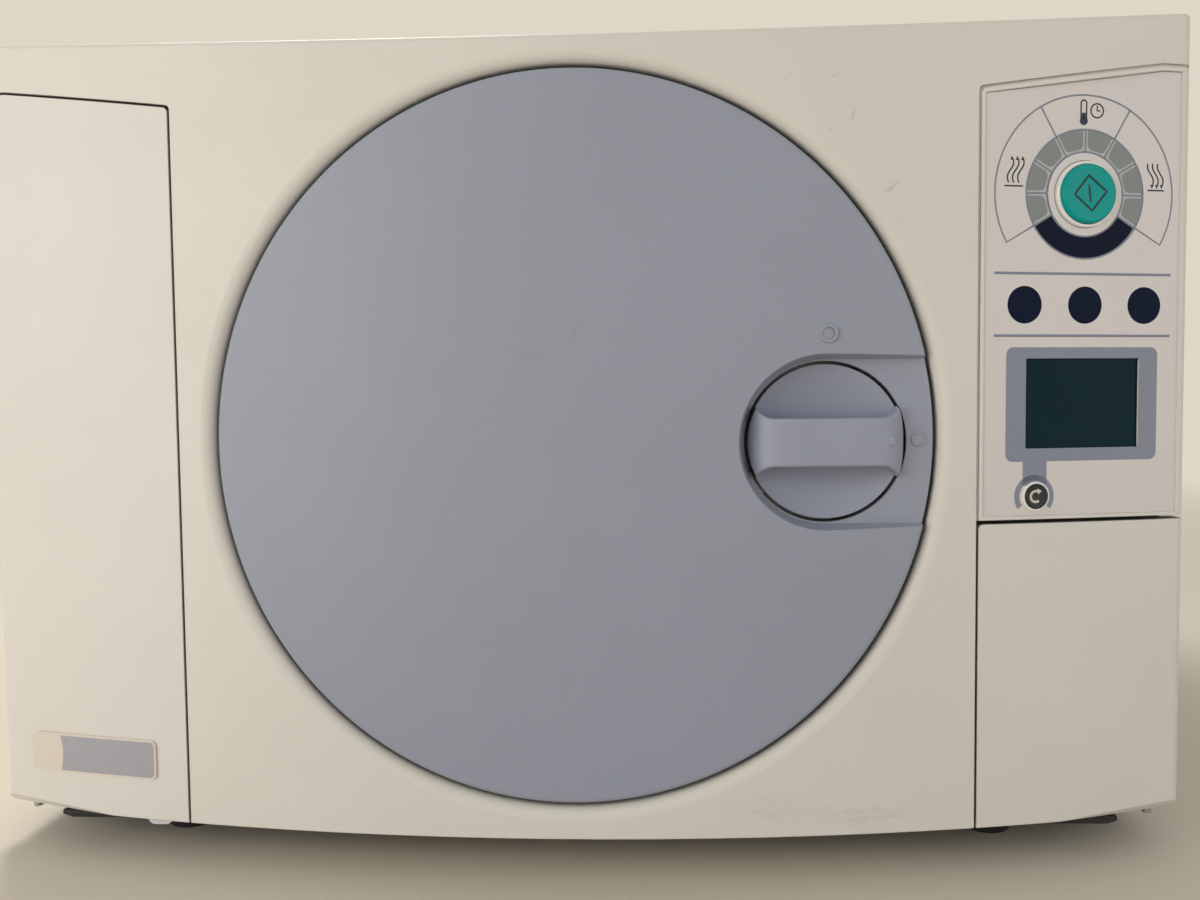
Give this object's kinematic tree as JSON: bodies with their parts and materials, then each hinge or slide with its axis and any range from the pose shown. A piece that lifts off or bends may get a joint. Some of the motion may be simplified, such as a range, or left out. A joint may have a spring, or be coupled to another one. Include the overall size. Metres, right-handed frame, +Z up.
{
  "type": "benchtop autoclave",
  "caption": "Benchtop steam autoclave: bowed white front, round grey hinged door with a turning handle, control panel, two side doors and a horizontal round chamber with trays.",
  "frame": {"origin": "on the surface it stands on, under the middle of the machine's box", "axes": "+Z up, -Y towards the user in front, +X to the user's right"},
  "size_m": [0.57, 0.56, 0.3902],
  "materials": {
    "case_plastic": "satin",
    "side_plastic": "satin",
    "case_metal": "satin",
    "base_metal": "matte",
    "zinc_sheet": "satin",
    "stainless": "satin",
    "pin_steel": "polished",
    "plate_metal": "satin",
    "door_plastic": "satin",
    "handle_plastic": "satin",
    "foot_rubber": "matte",
    "seal_rubber": "satin",
    "tab_plastic": "gloss",
    "badge_plastic": "gloss",
    "rim_plastic": "satin",
    "film_plastic": "satin",
    "navy_lens": "gloss",
    "grey_lens": "satin",
    "ring_plastic": "gloss",
    "start_plastic": "gloss",
    "dark_plastic": "gloss",
    "display_glass": "gloss",
    "board_green": "satin",
    "tank_plastic": "satin",
    "blue_plastic": "gloss",
    "filter_plastic": "gloss",
    "brass_metal": "satin",
    "copper_pipe": "satin",
    "black_plastic": "satin",
    "red_plastic": "gloss",
    "pump_metal": "satin",
    "foam": "matte"
  },
  "bodies": {
    "machine": {"front_fascia": "case_plastic", "outer_casing": "case_metal", "base_pan": "base_metal", "rubber_feet": "foot_rubber", "rear_panel": "case_metal", "front_bulkhead": "zinc_sheet", "chamber_vessel": "stainless", "insulation_jacket": "foam", "band_heater": "zinc_sheet", "chamber_saddles": "zinc_sheet", "tray_rack": "stainless", "trays": "stainless", "bolt_keepers": "stainless", "hinge_brackets": "zinc_sheet", "hinge_pins": "pin_steel", "panel_bezel": "rim_plastic", "panel_overlay": "film_plastic", "status_lenses": "navy_lens", "progress_lenses": "grey_lens", "button_rings": "ring_plastic", "display_window": "display_glass", "control_board": "board_green", "water_tank": "tank_plastic", "air_filter": "filter_plastic", "drain_valve": "brass_metal", "steam_generator": "stainless", "vacuum_pump": "pump_metal", "condenser": "plate_metal", "fan_frame": "black_plastic", "valve_block": "brass_metal", "power_supply": "zinc_sheet", "mains_switch": "black_plastic", "mains_inlet": "black_plastic", "fuse_caps": "black_plastic", "drain_outlets": "brass_metal", "casing_screws": "pin_steel", "safety_valve": "brass_metal", "steam_pipes": "copper_pipe"},
    "main_door": {"door_arm": "plate_metal", "door_cover": "door_plastic", "door_liner": "zinc_sheet", "cover_screws": "pin_steel", "pressure_plate": "plate_metal", "door_seal": "seal_rubber", "bolt_guides": "zinc_sheet"},
    "door_handle": {"door_knob": "handle_plastic", "knob_spindle": "pin_steel", "lock_pinion": "pin_steel"},
    "left_lock": {"left_bolt": "pin_steel"},
    "right_lock": {"right_bolt": "pin_steel"},
    "tank_side_door": {"tank_door": "side_plastic", "finger_tab": "tab_plastic", "badge_plate": "badge_plastic"},
    "service_side_door": {"service_door": "side_plastic"},
    "start_key": {"start_button": "start_plastic"},
    "cancel_key": {"cancel_button": "dark_plastic"},
    "filler_cap": {"tank_cap": "blue_plastic"},
    "drain_handle": {"drain_knob": "red_plastic"},
    "fan": {"fan_rotor": "black_plastic"},
    "power_rocker": {"mains_rocker": "red_plastic"}
  },
  "joints": [
    {"name": "main_door_swing", "type": "hinge", "parent": "machine", "child": "main_door", "pos_m": [-0.188, -0.254, 0.1983], "axis": [0, 0, -1], "range_deg": [0, 100]},
    {"name": "handle_turn", "type": "hinge", "parent": "main_door", "child": "door_handle", "pos_m": [0.1142, -0.26, 0.1968], "axis": [0, -1, 0], "range_deg": [0, 90]},
    {"name": "left_bolt_throw", "type": "slide", "parent": "main_door", "child": "left_lock", "axis": [-1, 0, 0], "range_m": [0, 0.01886]},
    {"name": "right_bolt_throw", "type": "slide", "parent": "main_door", "child": "right_lock", "axis": [1, 0, 0], "range_m": [0, 0.01886]},
    {"name": "tank_door_swing", "type": "hinge", "parent": "machine", "child": "tank_side_door", "pos_m": [-0.273, -0.24006, 0.1983], "axis": [0, 0, -1], "range_deg": [0, 100]},
    {"name": "service_door_swing", "type": "hinge", "parent": "machine", "child": "service_side_door", "pos_m": [0.273, -0.24006, 0.09], "axis": [0, 0, 1], "range_deg": [0, 100]},
    {"name": "start_press", "type": "slide", "parent": "machine", "child": "start_key", "axis": [-0.1914, 0.9815, 0], "range_m": [0, 0.0025], "stiffness_N_per_m": 600},
    {"name": "cancel_press", "type": "slide", "parent": "machine", "child": "cancel_key", "axis": [-0.1914, 0.9815, 0], "range_m": [0, 0.0012], "stiffness_N_per_m": 500},
    {"name": "cap_turn", "type": "hinge", "parent": "machine", "child": "filler_cap", "pos_m": [-0.24, -0.23, 0.298], "axis": [0, -1, 0], "continuous": true},
    {"name": "drain_turn", "type": "hinge", "parent": "machine", "child": "drain_handle", "pos_m": [0.24, -0.214, 0.052], "axis": [0, -1, 0], "range_deg": [0, 90]},
    {"name": "fan_spin", "type": "hinge", "parent": "machine", "child": "fan", "pos_m": [0.09, 0.249, 0.25], "axis": [0, 1, 0], "continuous": true},
    {"name": "power_rock", "type": "hinge", "parent": "machine", "child": "power_rocker", "pos_m": [-0.2, 0.263, 0.07], "axis": [0, 0, -1], "range_deg": [0, 22]}
  ],
  "couplings": [
    {"joint": "left_bolt_throw", "follows": "handle_turn", "m_per_rad": 0.012},
    {"joint": "right_bolt_throw", "follows": "handle_turn", "m_per_rad": 0.012}
  ]
}
